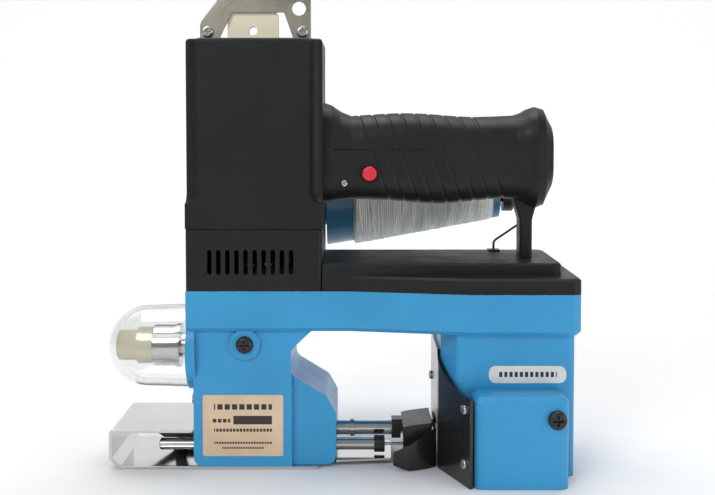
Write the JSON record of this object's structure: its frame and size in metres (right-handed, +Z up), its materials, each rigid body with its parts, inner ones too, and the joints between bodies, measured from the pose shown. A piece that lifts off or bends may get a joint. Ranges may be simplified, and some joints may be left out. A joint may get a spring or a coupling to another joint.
{
  "type": "bag closer sewing machine",
  "caption": "Hand-held bag closer: blue two-legged frame with needle and looper legs, black motor column, ribbed grip, oil cup and thread cone.",
  "frame": {"origin": "bottom centre of the whole machine's box, on the surface it stands on", "axes": "+Z up, +X from the oil cup and needle leg to the looper leg, +Y from the operator's side to the thread cone"},
  "size_m": [0.306, 0.1788, 0.313],
  "materials": {
    "blue_paint": "satin enamel over casting",
    "black_plastic": "fine moulded texture",
    "grip_plastic": "ribbed moulded grip",
    "red_button": "gloss",
    "plate_steel": "brushed",
    "chrome": "polished",
    "throat_steel": "glossy dark sheet",
    "black_steel": "black oxide",
    "screw_steel": "zinc plated",
    "nylon": "cream nylon",
    "label_foil": "satin foil",
    "silver_label": "satin foil",
    "clear_cup": "clear moulded plastic",
    "thread": "wound polyester thread",
    "cone_plastic": "moulded tube",
    "belt_rubber": "moulded",
    "bronze": "sintered",
    "iron": "laminated"
  },
  "bodies": {
    "machine": {"bag_guide": "chrome", "bag_horn": "throat_steel", "bar_bushes": "bronze", "base_cover": "black_plastic", "column_base": "black_plastic", "column_front": "black_plastic", "column_rear": "black_plastic", "cover_screws": "screw_steel", "drive_belt": "belt_rubber", "frame_casting": "blue_paint", "grip_front": "grip_plastic", "grip_rear": "grip_plastic", "grip_strut": "black_plastic", "hanger_plate": "plate_steel", "left_rear_cover": "blue_paint", "leg_screw": "black_steel", "lever_pin": "chrome", "lifter_bracket": "black_steel", "looper_cover": "blue_paint", "looper_cover_knob": "black_steel", "main_bearings": "screw_steel", "motor_bearings": "screw_steel", "motor_brackets": "iron", "motor_stator": "iron", "nameplate": "label_foil", "needle_bar_guard": "chrome", "oil_cup": "clear_cup", "oil_pump_barrel": "chrome", "power_inlet": "black_plastic", "presser_spring": "chrome", "right_rear_cover": "blue_paint", "serial_plate": "silver_label", "spool_bracket": "black_steel", "switch_bezel": "black_plastic", "tension_post": "chrome", "throat_plate": "throat_steel", "throat_screws": "screw_steel", "top_thread_guide": "nylon", "wire_thread_guide": "black_steel"},
    "main_shaft": {"main_shaft": "chrome", "main_pulley": "iron"},
    "motor_rotor": {"motor_armature": "iron", "motor_shaft": "chrome", "motor_fan": "black_plastic", "motor_pulley": "iron"},
    "needle_bar": {"needle_bar": "chrome", "needle_clamp": "black_steel", "needle": "chrome"},
    "needle_lever": {"needle_lever": "iron"},
    "drive_yoke": {"drive_yoke": "iron"},
    "presser": {"presser_bar": "chrome", "presser_foot": "black_steel"},
    "presser_lifter": {"presser_lifter": "black_steel"},
    "feed_dog": {"feed_dog": "black_steel"},
    "looper": {"looper": "chrome"},
    "power_button": {"power_button": "red_button"},
    "oil_plunger": {"oil_plunger": "nylon"},
    "tension_knob": {"tension_knob": "black_plastic"},
    "thread_cone": {"thread_tube": "cone_plastic", "thread_winding": "thread"}
  },
  "joints": [
    {"name": "main_shaft_spin", "type": "hinge", "parent": "machine", "child": "main_shaft", "pos_m": [0.107, -0.01534, 0.06], "axis": [0, 0, 1], "continuous": true},
    {"name": "motor_spin", "type": "hinge", "parent": "machine", "child": "motor_rotor", "pos_m": [-0.0543, -0.01534, 0.18], "axis": [0, 0, 1], "continuous": true},
    {"name": "needle_slide", "type": "slide", "parent": "machine", "child": "needle_bar", "axis": [1, 0, 0], "range_m": [0, 0.032]},
    {"name": "needle_lever_swing", "type": "hinge", "parent": "machine", "child": "needle_lever", "pos_m": [-0.058, -0.03034, 0.058], "axis": [0, -1, 0], "range_deg": [0, 38]},
    {"name": "drive_yoke_slide", "type": "slide", "parent": "machine", "child": "drive_yoke", "axis": [-1, 0, 0], "range_m": [0, 0.0261]},
    {"name": "presser_slide", "type": "slide", "parent": "machine", "child": "presser", "axis": [-1, 0, 0], "range_m": [0, 0.008], "stiffness_N_per_m": 400, "springref_m": -0.003},
    {"name": "presser_lifter_swing", "type": "hinge", "parent": "machine", "child": "presser_lifter", "pos_m": [-0.111, -0.00834, 0.006], "axis": [0, -1, 0], "range_deg": [0, 35.6]},
    {"name": "feed_dog_slide", "type": "slide", "parent": "machine", "child": "feed_dog", "axis": [0, 1, 0], "range_m": [-0.0036, 0.0036]},
    {"name": "looper_swing", "type": "hinge", "parent": "machine", "child": "looper", "pos_m": [0.088, -0.00134, 0.02], "axis": [0, 0, 1], "range_deg": [-15, 15]},
    {"name": "power_button_press", "type": "slide", "parent": "machine", "child": "power_button", "axis": [0, 1, 0], "range_m": [0, 0.003], "stiffness_N_per_m": 300, "springref_m": -0.002},
    {"name": "oil_plunger_press", "type": "slide", "parent": "machine", "child": "oil_plunger", "axis": [1, 0, 0], "range_m": [0, 0.006], "stiffness_N_per_m": 300, "springref_m": -0.002},
    {"name": "tension_knob_turn", "type": "hinge", "parent": "machine", "child": "tension_knob", "pos_m": [0.044, 0.03466, 0.104], "axis": [0, 1, 0], "range_deg": [-180, 180]},
    {"name": "thread_cone_pull", "type": "slide", "parent": "machine", "child": "thread_cone", "axis": [1, 0, 0], "range_m": [0, 0.14]}
  ],
  "couplings": [
    {"joint": "motor_spin", "follows": "main_shaft_spin", "ratio": 3.1429},
    {"joint": "needle_lever_swing", "follows": "needle_slide", "rad_per_m": 20.71},
    {"joint": "drive_yoke_slide", "follows": "needle_slide", "ratio": 0.8135},
    {"joint": "presser_lifter_swing", "follows": "presser_slide", "rad_per_m": 77.4}
  ]
}
